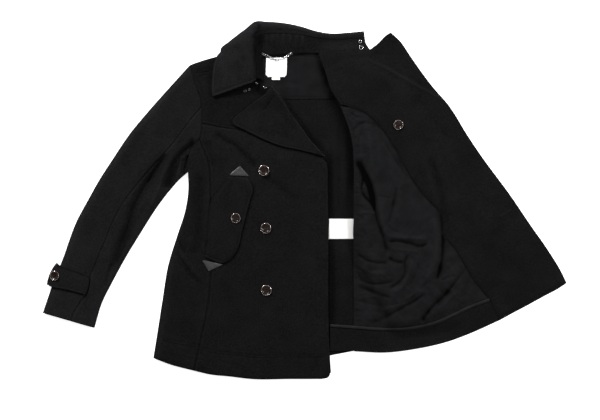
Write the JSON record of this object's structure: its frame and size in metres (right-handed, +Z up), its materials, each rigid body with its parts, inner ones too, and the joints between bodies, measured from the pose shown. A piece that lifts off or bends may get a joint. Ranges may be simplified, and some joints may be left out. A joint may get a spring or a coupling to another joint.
{
  "type": "pea coat",
  "caption": "Black wool double-breasted pea coat laid flat on its back, one front closed and the other thrown open to show its facing and lining.",
  "frame": {"origin": "centre of the coat's outline, on the surface it lies on", "axes": "+Y towards the collar, +Z up out of the surface, +X towards the opened left front"},
  "size_m": [1.2541, 0.858, 0.034],
  "materials": {
    "wool": "matt brushed melton",
    "satin": "smooth satin weave",
    "leather": "semi-gloss grained",
    "horn": "polished horn look",
    "label": "bare woven tape",
    "metal": "nickel plated"
  },
  "bodies": {
    "root": {"back": "wool", "right_front": "wool", "right_side_front": "wool", "right_front_yoke": "wool", "right_facing": "wool", "right_lapel_under": "wool", "right_upper_sleeve": "wool", "right_under_sleeve": "wool", "right_sleeve_tab": "wool", "collar_fall": "wool", "collar_stand": "wool", "left_front": "wool", "left_facing": "wool", "hem_facing": "wool", "left_upper_sleeve": "wool", "left_under_sleeve": "wool", "pocket_flap": "wool", "back_yoke_lining": "satin", "left_lining": "satin", "hem_tape": "satin", "pocket_patch_upper": "leather", "pocket_patch_lower": "leather", "front_button_upper": "horn", "front_button_middle": "horn", "front_button_lower": "horn", "pocket_button": "horn", "inner_button": "horn", "tab_button": "horn", "neck_label": "label", "size_tab": "label", "care_label": "label", "hanger_chain": "metal", "collar_ring_upper": "metal", "collar_ring_lower": "metal", "neck_hook": "metal", "neck_eye": "metal", "leaf_hook": "metal", "leaf_eye": "metal"}
  },
  "joints": []
}
